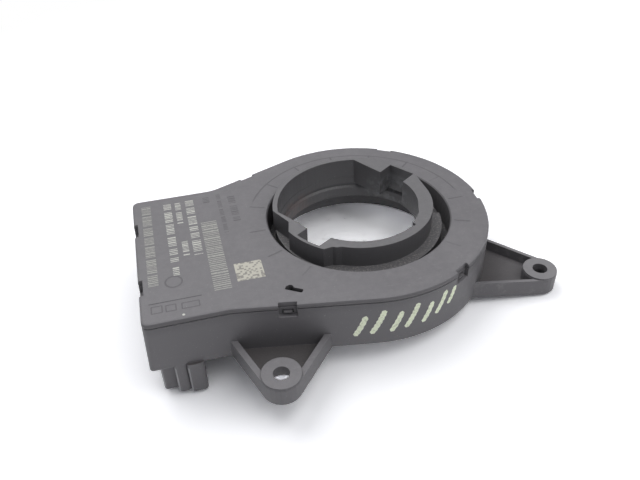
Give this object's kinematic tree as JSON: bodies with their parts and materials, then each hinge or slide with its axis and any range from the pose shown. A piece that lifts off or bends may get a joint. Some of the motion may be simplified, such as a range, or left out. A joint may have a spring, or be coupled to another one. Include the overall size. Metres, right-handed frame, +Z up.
{
  "type": "steering angle sensor",
  "caption": "Flat black steering angle sensor: a keyed rotor hub in a ring-shaped case with an electronics box, two mounting ears and a connector underneath",
  "frame": {"origin": "bottom centre of the bounding box, level with the mouth of the connector", "axes": "+X runs from the electronics box to the ring, +Y points to the side without ears, +Z points up along the rotor axis, out of the cover"},
  "size_m": [0.1226, 0.093, 0.0312],
  "materials": {
    "moulded_black": "fine moulded texture",
    "rotor_black": "fine moulded texture",
    "gear_natural": "smooth",
    "magnet_grey": "ground",
    "board_laminate": "solder mask",
    "chip_resin": "moulded",
    "plated_steel": "satin",
    "capacitor_resin": "moulded",
    "capacitor_can": "satin",
    "tinned_copper": "bright"
  },
  "bodies": {
    "housing": {"case": "moulded_black", "cover": "moulded_black", "circuit_board": "board_laminate", "angle_sensor_a": "chip_resin", "angle_sensor_b": "chip_resin", "microcontroller": "chip_resin", "bus_transceiver": "chip_resin", "voltage_regulator": "chip_resin", "crystal": "plated_steel", "chip_capacitor_1": "capacitor_resin", "chip_capacitor_2": "capacitor_resin", "electrolytic_capacitor": "capacitor_can", "terminal_1": "tinned_copper", "terminal_2": "tinned_copper", "terminal_3": "tinned_copper", "terminal_4": "tinned_copper", "terminal_5": "tinned_copper", "terminal_6": "tinned_copper"},
    "rotor": {"rotor_hub": "rotor_black"},
    "gear_a": {"measuring_gear_a": "gear_natural", "magnet_a": "magnet_grey"},
    "gear_b": {"measuring_gear_b": "gear_natural", "magnet_b": "magnet_grey"}
  },
  "joints": [
    {"name": "rotor_turn", "type": "hinge", "parent": "housing", "child": "rotor", "pos_m": [0.00755, 0.0065, 0.0102], "axis": [0, 0, 1], "continuous": true},
    {"name": "gear_a_turn", "type": "hinge", "parent": "housing", "child": "gear_a", "pos_m": [-0.03049, 0.01886, 0.0102], "axis": [0, 0, 1], "continuous": true},
    {"name": "gear_b_turn", "type": "hinge", "parent": "housing", "child": "gear_b", "pos_m": [-0.03, -0.00867, 0.0102], "axis": [0, 0, 1], "continuous": true}
  ],
  "couplings": [
    {"joint": "gear_a_turn", "follows": "rotor_turn", "ratio": -4},
    {"joint": "gear_b_turn", "follows": "rotor_turn", "ratio": -3.7647}
  ]
}
